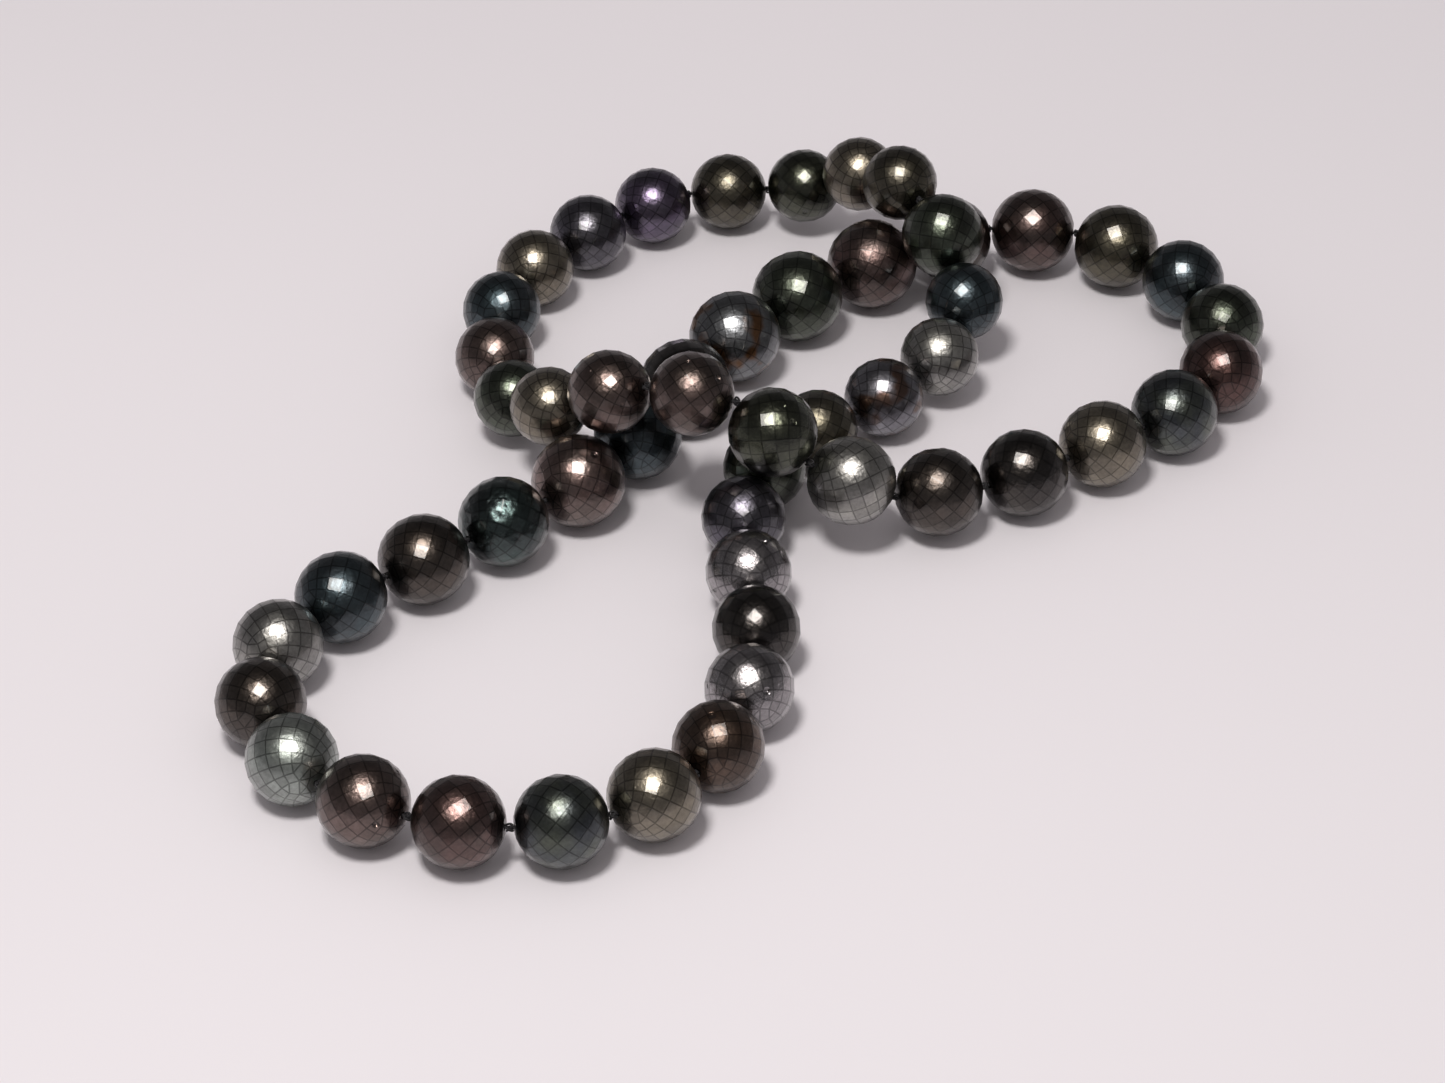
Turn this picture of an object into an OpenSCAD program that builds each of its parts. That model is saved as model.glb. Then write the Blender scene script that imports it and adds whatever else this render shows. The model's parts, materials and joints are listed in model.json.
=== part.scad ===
// Endless strand of faceted black pearls, knotted on silk and laid down in loops.
// The strand is one closed ring. It lies flat, and crosses over itself in two arches.
// Pearls are numbered 1 to 52 along the strand, and knot n follows pearl n.

/* [Pearls] */
// Diameter of a middle-sized pearl
pearl_d = 12; // [10:0.5:14]
// Difference in diameter between one size grade and the next
grade_step = 0.2; // [0:0.05:0.3]
// Diameter of the hole drilled through each pearl
bore_d = 0.9; // [0.75:0.05:1.1]
// Number of facets around the waist of each pearl
facets_around = 14; // [12:2:16]

/* [Silk] */
// Diameter of the silk thread
thread_d = 0.6; // [0.4:0.05:0.7]
// Length of silk from one pearl to the next, which the knot takes up
knot_gap = 1; // [0.9:0.05:1.6]
// Space that each knot leaves at the mouths of the two holes beside it
knot_clear = 0.05; // [0.03:0.01:0.1]
// Space between a knot and a thread that swings about it
swing_clear = 0.05; // [0.03:0.01:0.1]

/* [Hidden] */
// Runs of pearls of one size along the strand, each [how many, grade above the middle size]
size_runs = [
    [1, 5], [3, 2], [8, 0], [2, -1], [3, -2], [4, -4], [1, 0], [3, -5],
    [6, -3], [2, -5], [2, -2], [6, 1], [3, 0], [3, 2], [4, 6], [1, 2]
];
pearl_count = 52;

// Body colour of each pearl along the strand, one letter a pearl
tone_order = "RPBNSOSAAPGOSBSCGOCSNGOOGOACONRGOAAGSBBSPAGPOABABSBN";
tones = [
    ["R", "#6e6167"],   // rose grey
    ["P", "#2c4247"],   // peacock
    ["B", "#232326"],   // black
    ["N", "#2c3644"],   // night blue
    ["S", "#8b9193"],   // silver
    ["O", "#4f4a40"],   // olive brown
    ["A", "#4b3a46"],   // aubergine
    ["G", "#36423b"],   // green
    ["C", "#4b4d55"]    // charcoal
];
silk_tone = "#1c1b1d";

// Points that the strand runs through, as it lies: across, back and lifted off the ground
route = [
    [-15, 10, 0], [-30, -5, 0], [-45, -17, 0], [-58, -29, 0], [-60, -44, 0],
    [-51, -60, 0], [-34, -68, 0], [-15, -67, 0], [-1, -55, 0], [4, -38, 0],
    [4, -18, 0], [2, -2, 0], [8, 14, 0], [23, 26, 0], [34, 39, 2],
    [35, 51, 5], [29, 60, 11], [23, 71, 11], [18, 78, 4], [8, 82, 0],
    [-4, 81, 0], [-20, 70, 0], [-32, 51, 0], [-32, 31, 0], [-27, 19, 2],
    [-21, 13, 9], [-10, 8, 14], [1, 5, 14], [12, -1, 7], [23, 0, 1],
    [36, 4, 0], [52, 14, 0], [68, 26, 0], [73, 42, 0], [67, 57, 0],
    [52, 69, 0], [39, 70, 0], [21, 59, 0], [6, 47, 0], [-5, 29, 0]
];
// Measuring steps along the route between two of its points
route_steps = 12;
// Turn of the facets from one pearl to the next, so that no two neighbours match
facet_turn = 137.5;
round_sides = 24;
silk_sides = 8;
// Angle from a knot's ends to the edges of its barrel
barrel_turn = 60;

// Sections of the strand. Each has a name and its runs of thread, as [first knot, last knot,
// ends]. A 0 is an end that takes in its knot. A 1 is an end that stops short of its knot and
// leaves it to another section, so that this section can swing about it.
whole = [0, 0];
starts_short = [1, 0];
ends_short = [0, 1];
short = [1, 1];
sections = [
    ["crossing", [[15, 26, whole], [31, 38, whole], [45, 53, whole]]],
    ["front_base", [[1, 3, starts_short], [13, 15, ends_short]]],
    ["front_middle", [[3, 6, starts_short], [11, 13, ends_short]]],
    ["front_tip", [[6, 11, short]]],
    ["right_base", [[38, 40, starts_short], [44, 45, ends_short]]],
    ["right_tip", [[40, 44, short]]],
    ["left_base", [[26, 27, starts_short], [30, 31, ends_short]]],
    ["left_tip", [[27, 30, short]]]
];

// Diameters, by pearl number; entry 0 is the last pearl again, because the strand is a ring.
run_sizes = [for (run = size_runs, k = [1:run[0]]) pearl_d + grade_step * run[1]];
diameters = concat([run_sizes[pearl_count - 1]], run_sizes);
strand_length = total(run_sizes) + pearl_count * knot_gap;

function total(list, i = 0) = i < len(list) ? list[i] + total(list, i + 1) : 0;
function ring(list, i) = list[(i + len(list)) % len(list)];

// The route is a smooth curve through its points. At each point it heads between the two
// chords that meet there, closer to the heading of the shorter one.
function chord(i) = norm(ring(route, i + 1) - ring(route, i));
function heading(i) =
    let(before = chord(i - 1), after = chord(i))
    ((ring(route, i + 1) - ring(route, i)) * before / after
        + (ring(route, i) - ring(route, i - 1)) * after / before) / (before + after);
function along(i, f) =
    (2 * pow(f, 3) - 3 * pow(f, 2) + 1) * ring(route, i)
        + (pow(f, 3) - 2 * pow(f, 2) + f) * chord(i) * heading(i)
        + (3 * pow(f, 2) - 2 * pow(f, 3)) * ring(route, i + 1)
        + (pow(f, 3) - pow(f, 2)) * chord(i) * heading(i + 1);
function route_at(t) = along(floor(t), t - floor(t));

// Distance run at each measuring step, as [distance, place on the route]
last_step = len(route) * route_steps;
distances = [
    for (k = 0, run = 0;
         k <= last_step;
         run = run + norm(route_at((k + 1) / route_steps) - route_at(k / route_steps)), k = k + 1)
    [run, k / route_steps]
];
// The route grows or shrinks as a whole, so that the strand always closes on itself.
route_scale = strand_length / distances[last_step][0];

// Knots 0 to 51, each its pearls' mean radius above the ground or the route's lift. Knot 52 is
// knot 0 again.
thread_run = [
    for (n = 0, run = 0; n < pearl_count; run = run + diameters[n + 1] + knot_gap, n = n + 1) run
];
function laid_knot(n) =
    let(spot = route_scale * route_at(lookup(thread_run[n] / route_scale, distances)))
    [spot[0], spot[1], max(spot[2], 0) + (diameters[n] + diameters[n + 1]) / 4];
laid_knots = [for (n = [0:pearl_count - 1]) laid_knot(n)];
laid_pearls = [for (n = [1:pearl_count]) (laid_knots[n - 1] + ring(laid_knots, n)) / 2];

// The origin is the middle of the ground that the strand covers.
function low(axis) = min([for (n = [1:pearl_count]) laid_pearls[n - 1][axis] - diameters[n] / 2]);
function high(axis) = max([for (n = [1:pearl_count]) laid_pearls[n - 1][axis] + diameters[n] / 2]);
origin = [(low(0) + high(0)) / 2, (low(1) + high(1)) / 2, low(2)];
knots = [for (spot = laid_knots) spot - origin];
pearls = [for (spot = laid_pearls) spot - origin];

function knot(n) = ring(knots, n);
function pearl_name(n) = str("pearl_", n < 10 ? "0" : "", n);
function tone(n) = tones[search(tone_order[n - 1], tones)[0]][1];

// A facetted ball of radius 1, as rings of corners up from the waist, each [radius, height].
// Most facets are flat kites with corners on four rings, so each ring follows from the two
// below it. Two rings with half as many corners close each end around the drilled hole.
half_turn = 180 / facets_around;
kite_rings = facets_around / 2 - 2;
crown_latitudes = [65, 76];
function next_ring(a, b) =
    let(top = [b[0] * cos(half_turn), b[1]], slope = top - a)
    a - 2 * (a * slope) / (slope * slope) * slope;
function rings_up(list) =
    len(list) > kite_rings ? list
        : rings_up(concat(list, [next_ring(list[len(list) - 2], list[len(list) - 1])]));
upper_rings = rings_up([[1, 0], [cos(half_turn), sin(half_turn)]]);
function ring_corners(size, count, stagger) =
    [for (k = [0:count - 1], end = size[1] == 0 ? [1] : [-1, 1])
        let(angle = (k + stagger / 2) * 360 / count)
        [size[0] * cos(angle), size[0] * sin(angle), end * size[1]]];
corners = concat(
    [for (level = [0:kite_rings])
        each ring_corners(upper_rings[level], facets_around, level % 2)],
    [for (level = [0:len(crown_latitudes) - 1])
        let(latitude = crown_latitudes[level])
        each ring_corners([cos(latitude), sin(latitude)], facets_around / 2, level % 2)]
);
// Height of the small flat around each hole
flat_height = sin(crown_latitudes[1]);

// Distance from a knot's centre to the rim of the hole in pearl n beside it
function rim_reach(n) =
    let(half_span = norm(knot(n) - knot(n - 1)) / 2)
    norm([bore_d / 2, half_span - flat_height * diameters[n] / 2]);
function knot_r(n) =
    let(last = (n - 1 + pearl_count) % pearl_count + 1)
    min(rim_reach(last), rim_reach(last % pearl_count + 1)) - knot_clear;

// Stands what is drawn upright at a place, with its top towards a heading
module stand(place, heading) {
    translate(place)
        rotate([0, acos(heading[2] / norm(heading)), atan2(heading[1], heading[0])])
            children();
}

// One drilled and faceted pearl, where it lies on the thread
module pearl(n) {
    color(tone(n))
        stand(pearls[n - 1], knot(n) - knot(n - 1))
            rotate(n * facet_turn)
                difference() {
                    scale(diameters[n] / 2)
                        hull() polyhedron(corners, [[for (k = [0:len(corners) - 1]) k]]);
                    cylinder(h = diameters[n], d = bore_d, center = true, $fn = round_sides);
                }
}

// Rings of a length of silk, each [place, heading, radius], with each knot drawn as a barrel
function barrel(n, way, sides) =
    [for (side = sides) [knot(n) + way * side[0] * knot_r(n), way, side[1] * knot_r(n)]];
function thread_ring(n, way, reach) = [knot(n) + way * reach, way, thread_d / 2];
// Where the thread leaves a knot, with its edge no further out than the knot reaches
function stub_reach(n) = sqrt(pow(knot_r(n), 2) - pow(thread_d / 2, 2));
function way_into(n) = (knot(n) - knot(n - 1)) / norm(knot(n) - knot(n - 1));
function knot_before(n, way) =
    concat([thread_ring(n, way, -stub_reach(n))], barrel(n, way, [[-cos(barrel_turn), sin(barrel_turn)]]));
function knot_after(n, way) =
    concat(barrel(n, way, [[cos(barrel_turn), sin(barrel_turn)]]), [thread_ring(n, way, stub_reach(n))]);
function swing_ring(n, way, end) = [thread_ring(n, way, end * (knot_r(n) + swing_clear))];
function run_rings(first, last, ends) = concat(
    ends[0] == 1 ? swing_ring(first, way_into(first + 1), 1)
        : concat(knot_before(first, way_into(first + 1)), knot_after(first, way_into(first + 1))),
    [for (n = [first + 1:1:last - 1])
        each concat(knot_before(n, way_into(n)), knot_after(n, way_into(n + 1)))],
    ends[1] == 1 ? swing_ring(last, way_into(last), -1)
        : concat(knot_before(last, way_into(last)), knot_after(last, way_into(last)))
);

// A closed skin over rings of points that all stand square to their headings
module skin(rings) {
    count = len(rings);
    points = [
        for (r = rings, k = [0:silk_sides - 1])
        let(across = cross(r[1], [0, 0, 1]) / norm(cross(r[1], [0, 0, 1])),
            up = cross(across, r[1]),
            angle = k * 360 / silk_sides)
        r[0] + r[2] * (cos(angle) * across + sin(angle) * up)
    ];
    walls = [
        for (j = [0:count - 2], k = [0:silk_sides - 1])
        let(here = j * silk_sides, next = (k + 1) % silk_sides)
        [here + k, here + next, here + silk_sides + next, here + silk_sides + k]
    ];
    near_end = [for (k = [silk_sides - 1:-1:0]) k];
    far_end = [for (k = [0:silk_sides - 1]) (count - 1) * silk_sides + k];
    polyhedron(points, concat([near_end], walls, [far_end]), 4);
}

// A section's silk: each run of thread, with the knots that it holds
module silk(section) {
    color(silk_tone)
        for (run = section[1])
            skin(run_rings(run[0], run[1], run[2]));
}

for (n = [1:pearl_count])
    pearl(n);
for (section = sections)
    silk(section);
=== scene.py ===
"""The looks of an endless strand of faceted dark pearls, knotted on black silk.

Each pearl and each section of silk replaces its CAD solid at the same place and size. Places,
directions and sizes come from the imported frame. Lengths are in metres unless a name says mm.
"""

from __future__ import annotations

import json
import logging
import math
import random
from dataclasses import dataclass, field
from enum import Enum

import bpy
from mathutils import Matrix, Vector

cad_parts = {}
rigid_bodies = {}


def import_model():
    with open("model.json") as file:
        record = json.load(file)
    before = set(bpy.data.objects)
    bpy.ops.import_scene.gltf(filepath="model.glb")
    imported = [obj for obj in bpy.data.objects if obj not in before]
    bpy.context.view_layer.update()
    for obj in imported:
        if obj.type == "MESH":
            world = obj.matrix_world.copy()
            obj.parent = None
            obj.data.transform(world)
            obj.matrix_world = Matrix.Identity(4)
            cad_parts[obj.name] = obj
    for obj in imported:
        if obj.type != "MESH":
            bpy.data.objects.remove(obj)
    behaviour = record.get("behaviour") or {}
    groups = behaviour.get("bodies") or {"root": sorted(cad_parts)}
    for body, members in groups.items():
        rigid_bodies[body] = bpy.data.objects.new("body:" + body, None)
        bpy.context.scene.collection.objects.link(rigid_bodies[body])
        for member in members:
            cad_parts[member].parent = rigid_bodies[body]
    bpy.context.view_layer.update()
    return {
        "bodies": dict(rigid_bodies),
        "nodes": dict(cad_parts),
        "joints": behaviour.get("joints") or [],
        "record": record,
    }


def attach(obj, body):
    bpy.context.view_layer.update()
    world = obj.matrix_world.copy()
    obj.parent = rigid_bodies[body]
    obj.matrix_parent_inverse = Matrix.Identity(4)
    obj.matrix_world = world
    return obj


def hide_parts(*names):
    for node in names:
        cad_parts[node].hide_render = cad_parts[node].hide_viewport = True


LOG = logging.getLogger("pearl_strand")
MM = 0.001

# Places and lengths closer than this count as the same
SAME = 0.01 * MM

# The facets, worked out as part.scad works them out
PEARL_COUNT = 52
FACETS_AROUND = 14
KITE_RINGS = FACETS_AROUND // 2 - 2
CROWN_LATITUDES = (65, 76)
FACET_TURN = 137.5

# Patterns in the nacre: how many to a mm, and how far each pearl's are from the next one's
CLOUDS_PER_MM = 0.2
SPECKS_PER_MM = 2.0
SATIN_PER_MM = 1.3
PITS_PER_MM = 0.27
DENTS_PER_MM = 0.8
GROWTH_STEP_MM = Vector((37.0, 11.0, 53.0))
# How deep the skin's relief is, and how much the inner glow follows a facet
SKIN_DEPTH = 0.09 * MM
FACET_SHARE = 0.18
# Fibres in the silk and clouds in the board, to a metre
FIBRES_PER_METRE = 20000.0
FIBRE_DEPTH = 0.03 * MM
MOTTLE_PER_METRE = 6.0


class Mark(Enum):
    """What growth left on a pearl's skin."""

    CLEAN = "clean"
    PITTED = "pitted"
    HAMMERED = "hammered"
    TWO_TONE = "two_tone"


@dataclass(frozen=True)
class Nacre:
    """One finish of nacre.

    Args:
        body: sRGB hex colour that the nacre reflects most
        overtone: sRGB hex colour that drifts over the body colour
        roughness: how widely the inner glow spreads
        mark: what growth left on the skin
    """

    body: str
    overtone: str
    roughness: float = 0.3
    mark: Mark = Mark.CLEAN


FINISHES = {
    "rose": Nacre("#655a56", "#75635f", 0.28, Mark.PITTED),
    "rose_dark": Nacre("#574d49", "#6c5d59", 0.30, Mark.PITTED),
    "peacock": Nacre("#474b4f", "#585d54", 0.30),
    "hammered": Nacre("#3b4142", "#465553", 0.26, Mark.HAMMERED),
    "black": Nacre("#46413e", "#544c46", 0.29),
    "black_clear": Nacre("#3d3a39", "#4a4643", 0.26),
    "night": Nacre("#3f4549", "#445055", 0.31),
    "silver": Nacre("#868583", "#969590", 0.33),
    "silver_green": Nacre("#888c89", "#959c97", 0.36),
    "silver_bright": Nacre("#858284", "#a09c9e", 0.27, Mark.PITTED),
    "silver_patched": Nacre("#6d6f72", "#674a32", 0.32, Mark.TWO_TONE),
    "olive": Nacre("#524e46", "#5e5a4c", 0.32),
    "olive_pale": Nacre("#716b61", "#7e776a", 0.31),
    "brown": Nacre("#4d423c", "#5d4b40", 0.31, Mark.PITTED),
    "aubergine": Nacre("#534946", "#63504d", 0.31),
    "violet": Nacre("#595361", "#6c5f77", 0.29),
    "red": Nacre("#4e403e", "#5e4642", 0.31),
    "green": Nacre("#41443d", "#4e554a", 0.29),
    "green_pitted": Nacre("#42443c", "#54574a", 0.27, Mark.PITTED),
    "charcoal": Nacre("#515055", "#5e5b65", 0.30),
    "two_tone": Nacre("#747379", "#5c4941", 0.31, Mark.TWO_TONE),
}

# The finish of each pearl, in order along the strand
STRAND_FINISHES = (
    "rose", "hammered", "black", "night", "silver", "black", "silver_green",
    "rose_dark", "aubergine", "peacock", "olive_pale", "brown", "silver_bright",
    "black_clear", "silver_bright", "charcoal", "green", "olive", "two_tone",
    "silver", "night", "green", "olive", "olive_pale", "green_pitted", "olive",
    "violet", "charcoal", "olive_pale", "night", "rose_dark", "green", "olive_pale",
    "rose_dark", "rose_dark", "green_pitted", "silver", "black", "black_clear",
    "olive_pale", "peacock", "red", "green", "night", "olive", "aubergine",
    "black", "aubergine", "green", "silver_patched", "black_clear", "night",
)


def linear(hex_colour: str) -> tuple[float, float, float, float]:
    """Turns an sRGB hex colour into the linear colour that shaders take.

    Args:
        hex_colour: a colour such as "#4b4243"

    Returns:
        Linear red, green, blue and an alpha of 1.
    """
    parts = [int(hex_colour[i : i + 2], 16) / 255 for i in (1, 3, 5)]
    values = [p / 12.92 if p <= 0.04045 else ((p + 0.055) / 1.055) ** 2.4 for p in parts]
    return (values[0], values[1], values[2], 1.0)


def add_node(
    tree: bpy.types.NodeTree,
    kind: str,
    links: dict[str | int, object] | None = None,
    **settings: object,
) -> bpy.types.Node:
    """Adds a shader node with its settings and links.

    Args:
        tree: the node tree
        kind: the node's type name
        links: input name or number to the socket that feeds it, or to the value it holds
        settings: the node's own properties

    Returns:
        The new node.
    """
    node = tree.nodes.new(kind)
    for name, value in settings.items():
        setattr(node, name, value)
    for name, source in (links or {}).items():
        if isinstance(source, bpy.types.NodeSocket):
            tree.links.new(source, node.inputs[name])
        else:
            node.inputs[name].default_value = source
    return node


def new_material(name: str) -> tuple[bpy.types.Material, bpy.types.NodeTree, bpy.types.Node]:
    """Makes an empty material.

    Args:
        name: the material's name

    Returns:
        The material, its node tree, and its Principled shader.
    """
    material = bpy.data.materials.new(name)
    material.use_nodes = True
    tree = material.node_tree
    return material, tree, tree.nodes["Principled BSDF"]


def nacre_colour(
    tree: bpy.types.NodeTree, grain: bpy.types.NodeSocket, finish: Nacre
) -> bpy.types.NodeSocket:
    """Colours the nacre: slow clouds of overtone, fine specks, and painted light and shade for
    each facet.

    Args:
        tree: the material's node tree
        grain: each spot's own place in the pearl, in mm
        finish: the colours and marks

    Returns:
        The colour.
    """
    # Overtone: slow clouds of a second colour, about 5 mm across
    clouds = add_node(
        tree,
        "ShaderNodeTexNoise",
        {"Vector": grain, "Scale": CLOUDS_PER_MM, "Detail": 2.0},
    )
    cloud_edge = (0.52, 0.6) if finish.mark is Mark.TWO_TONE else (0.35, 0.7)
    drift = add_node(
        tree,
        "ShaderNodeMapRange",
        {"Value": clouds.outputs[0], "From Min": cloud_edge[0], "From Max": cloud_edge[1]},
    )
    tint = add_node(
        tree,
        "ShaderNodeMix",
        {0: drift.outputs[0], 6: linear(finish.body), 7: linear(finish.overtone)},
        data_type="RGBA",
    )
    # Growth: faint paler and darker specks, about 0.5 mm across
    specks = add_node(
        tree,
        "ShaderNodeTexNoise",
        {"Vector": grain, "Scale": SPECKS_PER_MM, "Detail": 4.0},
    )
    speck_range = {"From Min": 0.3, "From Max": 0.7, "To Min": 0.82, "To Max": 1.12}
    shade = add_node(tree, "ShaderNodeMapRange", {"Value": specks.outputs[0], **speck_range})
    colour = add_node(
        tree,
        "ShaderNodeVectorMath",
        {0: tint.outputs[2], "Scale": shade.outputs[0]},
        operation="SCALE",
    )
    # Facets: painted light and shade, each facet a little lighter or darker than the next as if it
    # caught the light at its own angle, with a fine dark line of painted shade between them
    facet = add_node(tree, "ShaderNodeAttribute", attribute_name="facet_shade")
    painted_facet_colour = add_node(
        tree,
        "ShaderNodeVectorMath",
        {0: colour.outputs[0], "Scale": facet.outputs["Fac"]},
        operation="SCALE",
    )
    return painted_facet_colour.outputs[0]


def skin_relief(
    tree: bpy.types.NodeTree, grain: bpy.types.NodeSocket, mark: Mark
) -> bpy.types.NodeSocket:
    """Raises the skin: a fine satin on every pearl, with pits or dents on marked ones.

    Args:
        tree: the material's node tree
        grain: each spot's own place in the pearl, in mm
        mark: what growth left

    Returns:
        The height of the skin.
    """
    satin = add_node(
        tree,
        "ShaderNodeTexNoise",
        {"Vector": grain, "Scale": SATIN_PER_MM, "Detail": 5.0},
    )
    relief = satin.outputs[0]
    if mark is Mark.PITTED:
        cells = add_node(tree, "ShaderNodeTexVoronoi", {"Vector": grain, "Scale": PITS_PER_MM})
        pit = add_node(
            tree,
            "ShaderNodeMapRange",
            {"Value": cells.outputs["Distance"], "From Max": 0.16, "To Min": -9.0, "To Max": 0.0},
            interpolation_type="SMOOTHSTEP",
        )
        pitted = add_node(
            tree,
            "ShaderNodeMath",
            {0: relief, 1: pit.outputs[0]},
            operation="ADD",
        )
        relief = pitted.outputs[0]
    if mark is Mark.HAMMERED:
        dents = add_node(
            tree,
            "ShaderNodeTexVoronoi",
            {"Vector": grain, "Scale": DENTS_PER_MM},
            feature="SMOOTH_F1",
        )
        dented = add_node(
            tree,
            "ShaderNodeMath",
            {0: dents.outputs["Distance"], 1: 2.5, 2: relief},
            operation="MULTIPLY_ADD",
        )
        relief = dented.outputs[0]
    return relief


def inner_normal(
    tree: bpy.types.NodeTree, relief: bpy.types.NodeSocket
) -> bpy.types.NodeSocket:
    """Faces the inner glow mostly as the round pearl does, and a little as the facet does.

    Args:
        tree: the material's node tree
        relief: the height of the skin

    Returns:
        The normal.
    """
    round_way = add_node(tree, "ShaderNodeAttribute", attribute_name="round_way")
    world_way = add_node(
        tree,
        "ShaderNodeVectorTransform",
        {"Vector": round_way.outputs["Vector"]},
        vector_type="NORMAL",
        convert_from="OBJECT",
        convert_to="WORLD",
    )
    facet_way = add_node(tree, "ShaderNodeNewGeometry").outputs["True Normal"]
    inner_way = add_node(
        tree,
        "ShaderNodeMix",
        {0: FACET_SHARE, 4: world_way.outputs[0], 5: facet_way},
        data_type="VECTOR",
    )
    bump = add_node(
        tree,
        "ShaderNodeBump",
        {
            "Strength": 0.8,
            "Distance": SKIN_DEPTH,
            "Height": relief,
            "Normal": inner_way.outputs[1],
        },
    )
    return bump.outputs[0]


def nacre_material(name: str, finish: Nacre) -> bpy.types.Material:
    """Nacre under a clear cut surface.

    The inner glow follows the round pearl and spreads softly. The clear coat over it follows the
    flat facets, so each facet mirrors its own bit of the room.

    Args:
        name: the finish's name
        finish: its colours and marks

    Returns:
        The material.
    """
    material, tree, shader = new_material(f"nacre_{name}")
    grain = add_node(tree, "ShaderNodeAttribute", attribute_name="grain").outputs["Vector"]
    tree.links.new(nacre_colour(tree, grain, finish), shader.inputs["Base Color"])
    relief = skin_relief(tree, grain, finish.mark)
    tree.links.new(inner_normal(tree, relief), shader.inputs["Normal"])
    shader.inputs["Metallic"].default_value = 1.0
    shader.inputs["Roughness"].default_value = finish.roughness
    shader.inputs["Coat Weight"].default_value = 0.4
    shader.inputs["Coat Roughness"].default_value = 0.06
    shader.inputs["Coat IOR"].default_value = 1.53
    return material


def silk_material() -> bpy.types.Material:
    """Black silk, with fine fibres that catch a little light.

    Returns:
        The material.
    """
    material, tree, shader = new_material("silk_black")
    place = add_node(tree, "ShaderNodeTexCoord").outputs["Object"]
    # Fibres: threads about 0.05 mm across
    fibres = add_node(
        tree,
        "ShaderNodeTexNoise",
        {"Vector": place, "Scale": FIBRES_PER_METRE, "Detail": 2.0},
    )
    tint = add_node(
        tree,
        "ShaderNodeMix",
        {0: fibres.outputs[0], 6: linear("#09080a"), 7: linear("#232125")},
        data_type="RGBA",
    )
    tree.links.new(tint.outputs[2], shader.inputs["Base Color"])
    bump = add_node(
        tree,
        "ShaderNodeBump",
        {"Strength": 0.6, "Distance": FIBRE_DEPTH, "Height": fibres.outputs[0]},
    )
    tree.links.new(bump.outputs[0], shader.inputs["Normal"])
    shader.inputs["Roughness"].default_value = 0.6
    shader.inputs["Specular IOR Level"].default_value = 0.25
    shader.inputs["Sheen Weight"].default_value = 0.1
    return material


def floor_material() -> bpy.types.Material:
    """A plain pale board, faintly mottled.

    Returns:
        The material.
    """
    material, tree, shader = new_material("pale_board")
    place = add_node(tree, "ShaderNodeTexCoord").outputs["Object"]
    # Mottle: clouds about 170 mm across
    mottle = add_node(
        tree,
        "ShaderNodeTexNoise",
        {"Vector": place, "Scale": MOTTLE_PER_METRE, "Detail": 1.0},
    )
    tint = add_node(
        tree,
        "ShaderNodeMix",
        {0: mottle.outputs[0], 6: linear("#e4dfe1"), 7: linear("#e9e4e6")},
        data_type="RGBA",
    )
    tree.links.new(tint.outputs[2], shader.inputs["Base Color"])
    shader.inputs["Roughness"].default_value = 0.4
    shader.inputs["Specular IOR Level"].default_value = 0.3
    return material


def only(obj: bpy.types.Object) -> None:
    """Makes obj the one selected and active object.

    Args:
        obj: the object
    """
    bpy.ops.object.select_all(action="DESELECT")
    obj.select_set(True)
    bpy.context.view_layer.objects.active = obj


def facet_corners() -> list[Vector]:
    """The corners of a facetted ball of radius 1, with its drill hole along Z.

    Returns:
        The corners, each on the ball.
    """
    half_turn = math.radians(180 / FACETS_AROUND)
    rings = [Vector((1, 0)), Vector((math.cos(half_turn), math.sin(half_turn)))]
    while len(rings) <= KITE_RINGS:
        low, high = rings[-2], rings[-1]
        top = Vector((high.x * math.cos(half_turn), high.y))
        slope = top - low
        rings.append(low - 2 * low.dot(slope) / slope.dot(slope) * slope)
    levels = [(ring, FACETS_AROUND, level % 2) for level, ring in enumerate(rings)]
    for level, degrees in enumerate(CROWN_LATITUDES):
        latitude = math.radians(degrees)
        crown = Vector((math.cos(latitude), math.sin(latitude)))
        levels.append((crown, FACETS_AROUND // 2, level % 2))
    corners = []
    for ring, count, stagger in levels:
        for k in range(count):
            angle = (k + stagger / 2) * math.tau / count
            for end in (-1, 1) if ring.y > 0 else (1,):
                corners.append(
                    Vector((ring.x * math.cos(angle), ring.x * math.sin(angle), end * ring.y))
                )
    return corners


def upright_to(heading: Vector) -> Matrix:
    """Turns +Z onto a heading, leaning first and then turning about the vertical.

    Args:
        heading: the direction

    Returns:
        The rotation.
    """
    way = heading.normalized()
    lean = Matrix.Rotation(math.acos(way.z), 4, "Y")
    return Matrix.Rotation(math.atan2(way.y, way.x), 4, "Z") @ lean


@dataclass
class Bead:
    """One pearl's place on the strand.

    Args:
        number: its number along the strand, from 1
        centre: its centre
        way: the thread's direction through it
        radius: its radius
        section: the body of silk that it turns on
        slot: its material slot in the record, which is not used
    """

    number: int
    centre: Vector
    way: Vector
    radius: float
    section: str
    slot: str

    @property
    def name(self) -> str:
        """The name of its CAD node and body."""
        return f"pearl_{self.number:02d}"


def read_beads(frame: dict) -> list[Bead]:
    """Reads each pearl's place from its spin joint, and its radius from its CAD corners.


    Returns:
        The pearls, in order along the strand.
    """
    slots = {part["node"]: part["material_slot"] for part in frame["record"]["subparts"]}
    joints = frame["joints"]
    spins = {joint["child"]: joint for joint in joints if joint["name"].startswith("spin_")}
    beads = []
    for number in range(1, PEARL_COUNT + 1):
        name = f"pearl_{number:02d}"
        joint = spins[name]
        centre = Vector(joint["pos_m"])
        corners = frame["nodes"][name].data.vertices
        radius = max((corner.co - centre).length for corner in corners)
        way = Vector(joint["axis"])
        beads.append(Bead(number, centre, way, radius, joint["parent"], slots[name]))
    return beads


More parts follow.
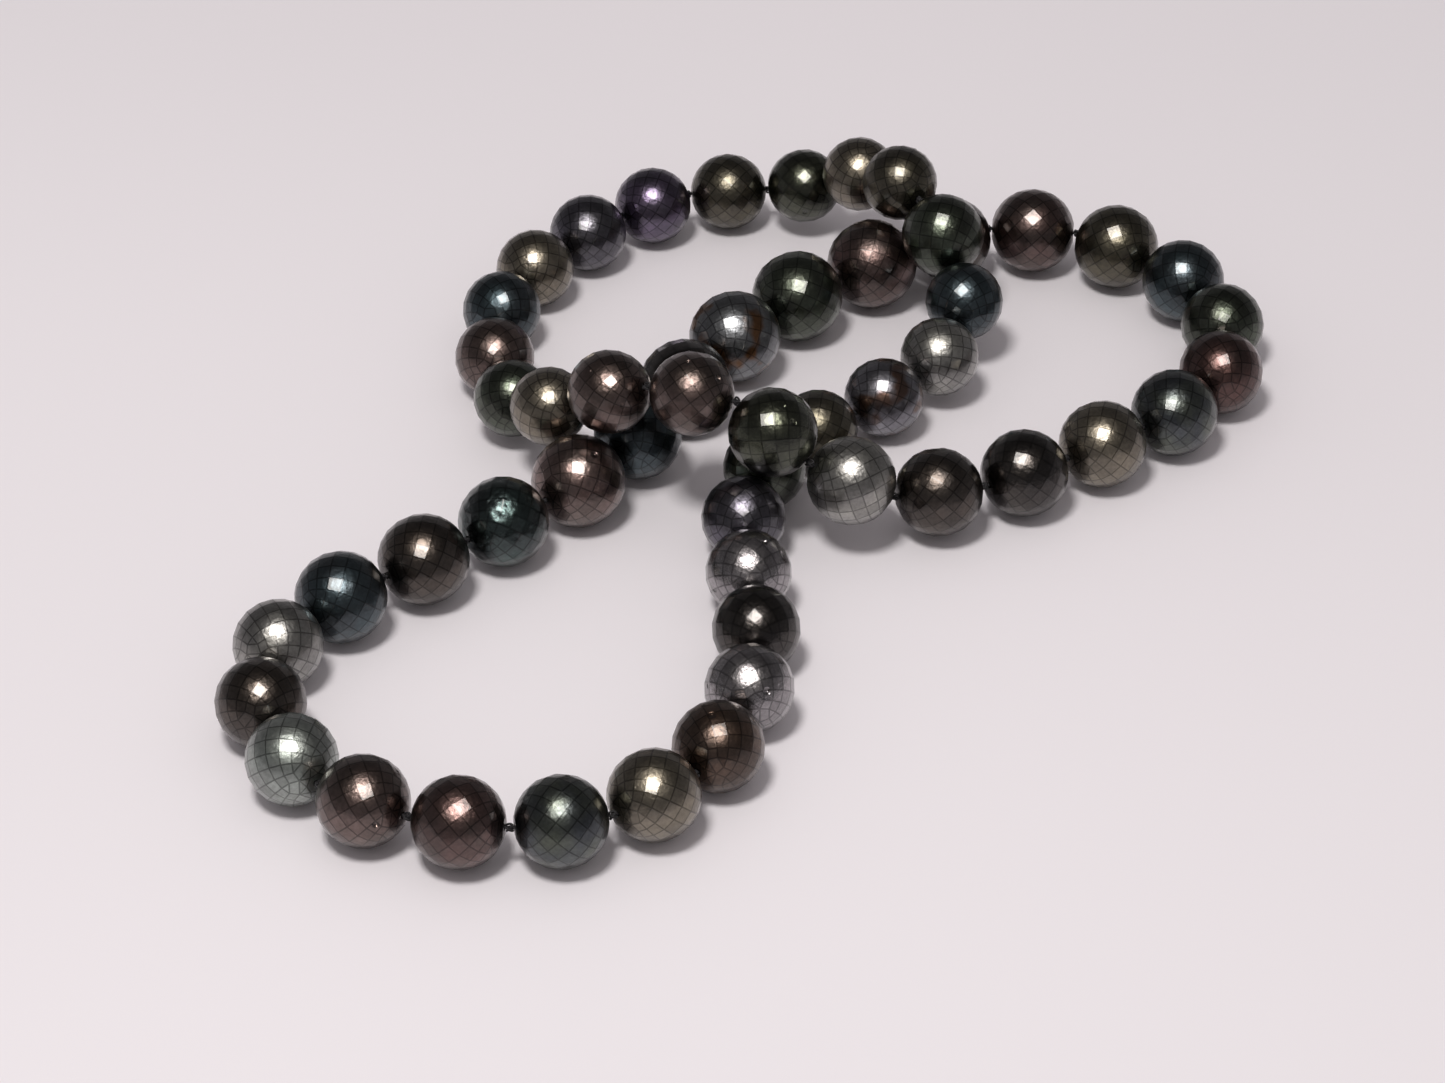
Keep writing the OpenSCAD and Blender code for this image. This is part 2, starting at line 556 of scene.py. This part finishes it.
@dataclass
class Pearls:
    """The drilled and faceted pearls.

    Args:
        beads: their places
        facet_bevel: how far the facets' edges are rounded
        smallest_facet: the area below which a face belongs to a rounded edge
        facet_painted_shades: the darkest and the palest painted shade of a facet, standing in for
            how it catches the light
        edge_painted_shade: the painted shade of the rounded edges between facets
        painted_shading_seed: the seed that the facets' painted shades are drawn from
        bore_radius: the radius of the thread's hole
        bore_sides: how many flats go round the hole
        mouth_bevel: how far the hole's mouths are rounded
        masters: a finished pearl mesh of each size, centred on the origin
        materials: a material for each finish
    """

    beads: list[Bead]
    facet_bevel: float = 0.1 * MM
    smallest_facet: float = 0.3 * MM * MM
    facet_painted_shades: tuple[float, float] = (0.84, 1.16)
    edge_painted_shade: float = 0.5
    painted_shading_seed: int = 5
    bore_radius: float = 0.45 * MM
    bore_sides: int = 24
    mouth_bevel: float = 0.08 * MM
    masters: dict[int, bpy.types.Mesh] = field(default_factory=dict)
    materials: dict[str, bpy.types.Material] = field(default_factory=dict)

    def cut(self, radius: float) -> bpy.types.Mesh:
        """Cuts a pearl of one radius: facets, softened edges and a drilled hole.

        Args:
            radius: the pearl's radius

        Returns:
            Its mesh, with its drill hole along Z.
        """
        mesh = bpy.data.meshes.new("cut_pearl")
        mesh.from_pydata([corner * radius for corner in facet_corners()], [], [])
        pearl = bpy.data.objects.new("cut_pearl", mesh)
        bpy.context.collection.objects.link(pearl)
        only(pearl)
        bpy.ops.object.mode_set(mode="EDIT")
        bpy.ops.mesh.select_all(action="SELECT")
        bpy.ops.mesh.convex_hull()
        bpy.ops.mesh.select_all(action="SELECT")
        bpy.ops.mesh.dissolve_limited(angle_limit=math.radians(1.5))
        bpy.ops.mesh.select_all(action="SELECT")
        bpy.ops.mesh.bevel(offset=self.facet_bevel, segments=2, affect="EDGES")
        bpy.ops.object.mode_set(mode="OBJECT")
        self.drill(pearl, radius)
        finished = pearl.data.copy()
        bpy.data.objects.remove(pearl)
        self.paint_facet_shading(finished)
        return finished

    def paint_facet_shading(self, mesh: bpy.types.Mesh) -> None:
        """Paints light and shade on the facets: each facet a lighter or darker shade, as if it
        caught the light at its own angle, and the narrow edges between facets a dark painted
        shade.

        Args:
            mesh: the finished mesh
        """
        chance = random.Random(self.painted_shading_seed)
        painted_shades = mesh.attributes.new("facet_shade", "FLOAT", "FACE")
        for facet, shade in zip(mesh.polygons, painted_shades.data):
            # Painted light and shade: a random lighter or darker shade for each facet, and a dark
            # painted shade on the narrow rounded edges
            is_edge = facet.area < self.smallest_facet
            shade.value = self.edge_painted_shade if is_edge else chance.uniform(*self.facet_painted_shades)

    def drill(self, pearl: bpy.types.Object, radius: float) -> None:
        """Drills the thread's hole, and softens its two mouths.

        Args:
            pearl: the pearl, centred on the origin
            radius: its radius
        """
        bpy.ops.mesh.primitive_cylinder_add(
            vertices=self.bore_sides, radius=self.bore_radius, depth=2.2 * radius
        )
        drill = bpy.context.object
        modifier = pearl.modifiers.new("drill", "BOOLEAN")
        modifier.operation = "DIFFERENCE"
        modifier.solver = "EXACT"
        modifier.object = drill
        only(pearl)
        bpy.ops.object.modifier_apply(modifier=modifier.name)
        bpy.data.objects.remove(drill)
        bpy.ops.object.mode_set(mode="EDIT")
        bpy.ops.mesh.select_all(action="DESELECT")
        bpy.ops.object.mode_set(mode="OBJECT")
        for edge in pearl.data.edges:
            ends = [pearl.data.vertices[i].co for i in edge.vertices]
            on_bore = all(abs(math.hypot(end.x, end.y) - self.bore_radius) < SAME for end in ends)
            edge.select = on_bore and abs(ends[0].z - ends[1].z) < SAME
        bpy.ops.object.mode_set(mode="EDIT")
        bpy.ops.mesh.select_mode(type="EDGE")
        bpy.ops.mesh.bevel(offset=self.mouth_bevel, segments=2, affect="EDGES")
        bpy.ops.mesh.select_all(action="SELECT")
        bpy.ops.mesh.normals_make_consistent(inside=False)
        bpy.ops.object.mode_set(mode="OBJECT")

    def place(self, bead: Bead) -> bpy.types.Object:
        """Puts a pearl where its CAD solid is, facets and all.

        Args:
            bead: the pearl's place

        Returns:
            The finished piece.
        """
        size = round(bead.radius / SAME)
        if size not in self.masters:
            self.masters[size] = self.cut(bead.radius)
        mesh = self.masters[size].copy()
        facet_turn = Matrix.Rotation(math.radians(bead.number * FACET_TURN), 4, "Z")
        self.note_growth(mesh, bead)
        mesh.transform(Matrix.Translation(bead.centre) @ upright_to(bead.way) @ facet_turn)
        ways = mesh.attributes.new("round_way", "FLOAT_VECTOR", "POINT")
        for corner, way in zip(mesh.vertices, ways.data):
            way.vector = (corner.co - bead.centre).normalized()
        piece = bpy.data.objects.new(bead.name + "_nacre", mesh)
        bpy.context.collection.objects.link(piece)
        return piece

    def note_growth(self, mesh: bpy.types.Mesh, bead: Bead) -> None:
        """Keeps each corner's own place in the pearl, in mm, for the patterns to follow.

        Args:
            mesh: the pearl's mesh, centred on the origin
            bead: the pearl, whose number moves its patterns away from its neighbours'
        """
        offset = GROWTH_STEP_MM * bead.number
        grain = mesh.attributes.new("grain", "FLOAT_VECTOR", "POINT")
        for corner, spot in zip(mesh.vertices, grain.data):
            spot.vector = corner.co / MM + offset

    def build(self) -> None:
        """Makes every pearl and puts it on its body."""
        for bead, finish_name in zip(self.beads, STRAND_FINISHES, strict=True):
            finish = FINISHES[finish_name]
            if finish_name not in self.materials:
                self.materials[finish_name] = nacre_material(finish_name, finish)
            piece = self.place(bead)
            piece.data.materials.append(self.materials[finish_name])
            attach(piece, bead.name)
            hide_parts(bead.name)
        LOG.info("%d pearls cut from %d sizes", len(self.beads), len(self.masters))


@dataclass
class Silk:
    """The thread through the pearls and the knots between them, one piece a section.

    Args:
        beads: the pearls that it holds
        ply_radius: the radius of each of the two plies
        ply_spread: how far a ply lies from the thread's middle, in ply radii
        turn_length: the length of thread in which a ply goes round once
        steps_per_turn: how many points a ply has in that length
        knot_radius: how wide a knot reaches from its middle
        knot_depth: how far a knot reaches along the thread, against its reach across
        knot_steps: how many points a knot has
        swing_gap: the room between a knot and a thread that swings about it
    """

    beads: list[Bead]
    frame: dict
    ply_radius: float = 0.15 * MM
    ply_spread: float = 0.9
    turn_length: float = 2.2 * MM
    steps_per_turn: int = 10
    knot_radius: float = 0.66 * MM
    knot_depth: float = 2.2
    knot_steps: int = 36
    swing_gap: float = 0.05 * MM

    def knot_place(self, number: int) -> Vector:
        """Where a knot is: midway between the drill holes that face each other.

        Args:
            number: the knot's number, which is that of the pearl before it

        Returns:
            Its centre.
        """
        before = self.beads[(number - 1) % PEARL_COUNT]
        after = self.beads[number % PEARL_COUNT]
        spare = ((after.centre - before.centre).length - before.radius - after.radius) / 2
        out = before.centre + before.way * (before.radius + spare)
        back = after.centre - after.way * (after.radius + spare)
        return (out + back) / 2

    def holder(self, number: int) -> str:
        """Which section holds a knot: of two that meet there, the one that carries the other.

        Args:
            number: the knot's number

        Returns:
            The section's body.
        """
        before = self.beads[(number - 1) % PEARL_COUNT].section
        after = self.beads[number % PEARL_COUNT].section
        for joint in self.frame["joints"]:
            if {joint["parent"], joint["child"]} == {before, after}:
                return joint["parent"]
        return before

    def thread(self, curve: bpy.types.Curve, bead: Bead) -> None:
        """Lays two plies through a pearl, stopping short of a knot that another section holds.

        Args:
            curve: the curve that the plies join
            bead: the pearl
        """
        start, end = self.knot_place(bead.number - 1), self.knot_place(bead.number)
        way = (end - start).normalized()
        if self.holder(bead.number - 1) != bead.section:
            start = start + way * (self.knot_radius + self.swing_gap)
        if self.holder(bead.number) != bead.section:
            end = end - way * (self.knot_radius + self.swing_gap)
        turn = upright_to(way)
        length = (end - start).length
        steps = round(length / self.turn_length * self.steps_per_turn)
        for ply in (0, math.pi):
            points = []
            for k in range(steps + 1):
                angle = ply + math.tau * k / self.steps_per_turn
                around = turn @ Vector((math.cos(angle), math.sin(angle), 0))
                out = around * self.ply_radius * self.ply_spread
                points.append(start + way * length * k / steps + out)
            self.ply(curve, points, closed=False)

    def knot(self, curve: bpy.types.Curve, number: int) -> None:
        """Ties an overhand knot, drawn as the closed three-lobed knot it tightens to.

        Args:
            curve: the curve that the knot joins
            number: the knot's number
        """
        place = self.knot_place(number)
        turn = upright_to(self.beads[number % PEARL_COUNT].way)
        reach = (self.knot_radius - self.ply_radius) / 3
        points = []
        for k in range(self.knot_steps):
            t = math.tau * k / self.knot_steps
            lobe = Vector(
                (
                    math.sin(t) + 2 * math.sin(2 * t),
                    math.cos(t) - 2 * math.cos(2 * t),
                    -self.knot_depth * math.sin(3 * t),
                )
            )
            points.append(place + turn @ lobe * reach)
        self.ply(curve, points, closed=True)

    def ply(self, curve: bpy.types.Curve, points: list[Vector], closed: bool) -> None:
        """Adds one ply of silk to a curve.

        Args:
            curve: the curve
            points: the points that the ply follows
            closed: whether it joins up with itself
        """
        spline = curve.splines.new("POLY")
        spline.points.add(len(points) - 1)
        for spot, point in zip(spline.points, points):
            spot.co = (*point, 1.0)
        spline.use_cyclic_u = closed

    def build(self) -> None:
        """Makes each section's silk and puts it on its body."""
        silk = silk_material()
        sections = sorted({bead.section for bead in self.beads})
        for section in sections:
            curve = bpy.data.curves.new(f"thread_{section}", "CURVE")
            curve.dimensions = "3D"
            curve.bevel_depth = self.ply_radius
            curve.bevel_resolution = 2
            curve.use_fill_caps = True
            for bead in self.beads:
                if bead.section == section:
                    self.thread(curve, bead)
                if self.holder(bead.number) == section:
                    self.knot(curve, bead.number)
            piece = bpy.data.objects.new(f"thread_{section}", curve)
            bpy.context.collection.objects.link(piece)
            only(piece)
            bpy.ops.object.convert(target="MESH")
            bpy.ops.object.shade_smooth()
            piece = bpy.context.object
            piece.data.materials.clear()
            piece.data.materials.append(silk)
            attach(piece, section)
            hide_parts(f"silk_{section}")
        LOG.info("silk in %d sections", len(sections))


@dataclass(frozen=True)
class Lamp:
    """A round lamp that faces the strand.

    Args:
        name: its name
        place: where it hangs, from the point that the camera looks at
        size: how wide it is
        power: its power in watts
        colour: its sRGB hex colour
    """

    name: str
    place: tuple[float, float, float]
    size: float
    power: float
    colour: str


# A broad lamp that the pearls mirror, and a smaller one that lights the board and casts shadows
GLINT_LAMP = Lamp("glint_lamp", (-0.04, -0.34, 0.84), 0.46, 11.5, "#fffaf5")
KEY_LAMP = Lamp("key_lamp", (-0.14, -0.3, 0.84), 0.2, 5.2, "#fffdfc")


@dataclass
class Studio:
    """The camera, the lights and the board that the strand lies on.

    Args:
        aim: the point on the board that the camera looks at
        distance: how far the camera is from it
        elevation: the angle at which the camera looks down, in radians
        lens_mm: the camera's focal length
        room_colour: the sRGB hex colour of the room
        room_strength: how strongly the room lights the board
        mirrored_strengths: how bright a pearl mirrors the room, level and near overhead
        dimmest_height: how steeply up a pearl mirrors the room at its dimmest
        board_width: how wide the board is
    """

    aim: tuple[float, float, float] = (-0.0064, -0.0069, 0.0)
    distance: float = 0.615
    elevation: float = math.radians(36.0)
    lens_mm: float = 112.1
    room_colour: str = "#f0ebee"
    room_strength: float = 0.5
    mirrored_strengths: tuple[float, float] = (0.26, 0.06)
    dimmest_height: float = 0.8
    board_width: float = 3.0

    def camera(self) -> None:
        """Sets the camera at the viewing angle, looking along +Y and down."""
        data = bpy.data.cameras.new("camera")
        data.lens = self.lens_mm
        data.clip_start = 0.01
        camera = bpy.data.objects.new("camera", data)
        bpy.context.collection.objects.link(camera)
        back = Vector((0, -math.cos(self.elevation), math.sin(self.elevation)))
        camera.location = Vector(self.aim) + back * self.distance
        camera.rotation_euler = (math.pi / 2 - self.elevation, 0, 0)
        bpy.context.scene.camera = camera

    def hang(self, lamp: Lamp) -> bpy.types.Object:
        """Hangs a lamp, facing the strand.

        Args:
            lamp: the lamp

        Returns:
            Its object.
        """
        data = bpy.data.lights.new(lamp.name, "AREA")
        data.shape = "DISK"
        data.size = lamp.size
        data.energy = lamp.power
        data.color = linear(lamp.colour)[:3]
        hung = bpy.data.objects.new(lamp.name, data)
        bpy.context.collection.objects.link(hung)
        place = Vector(lamp.place)
        hung.location = Vector(self.aim) + place
        hung.rotation_euler = (-place).to_track_quat("-Z", "Y").to_euler()
        return hung

    def lights(self) -> None:
        """Hangs the lamp that the pearls mirror, and the one that lights the board."""
        self.hang(GLINT_LAMP).visible_diffuse = False
        self.hang(KEY_LAMP).visible_glossy = False

    def room(self) -> None:
        """A room that lights the board evenly. A pearl mirrors it as dim, and darkest overhead."""
        world = bpy.data.worlds.new("room")
        bpy.context.scene.world = world
        world.use_nodes = True
        tree = world.node_tree
        seen = tree.nodes["Background"]
        seen.inputs["Color"].default_value = linear(self.room_colour)
        seen.inputs["Strength"].default_value = self.room_strength
        way = add_node(tree, "ShaderNodeTexCoord").outputs["Generated"]
        rise = add_node(tree, "ShaderNodeSeparateXYZ", {0: way}).outputs["Z"]
        level, overhead = self.mirrored_strengths
        dimming = add_node(
            tree,
            "ShaderNodeMapRange",
            {
                "Value": rise,
                "From Max": self.dimmest_height,
                "To Min": level,
                "To Max": overhead,
            },
            interpolation_type="SMOOTHSTEP",
        )
        mirrored = add_node(
            tree,
            "ShaderNodeBackground",
            {"Color": linear(self.room_colour), "Strength": dimming.outputs[0]},
        )
        rays = add_node(tree, "ShaderNodeLightPath")
        mix = add_node(
            tree,
            "ShaderNodeMixShader",
            {0: rays.outputs["Is Glossy Ray"], 1: seen.outputs[0], 2: mirrored.outputs[0]},
        )
        tree.links.new(mix.outputs[0], tree.nodes["World Output"].inputs["Surface"])

    def board(self) -> None:
        """Lays the pale board."""
        bpy.ops.mesh.primitive_plane_add(size=self.board_width, location=(0, 0, 0))
        board = bpy.context.object
        board.name = "board"
        board.data.materials.append(floor_material())

    def build(self) -> None:
        """Sets up the whole studio."""
        self.camera()
        self.lights()
        self.room()
        self.board()
        bpy.context.scene.view_settings.view_transform = "Standard"


def main() -> None:
    """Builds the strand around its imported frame."""
    logging.basicConfig(level=logging.INFO, format="%(name)s: %(message)s")
    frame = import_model()
    Studio().build()
    beads = read_beads(frame)
    Pearls(beads).build()
    Silk(beads, frame).build()


if __name__ == "__main__":
    main()
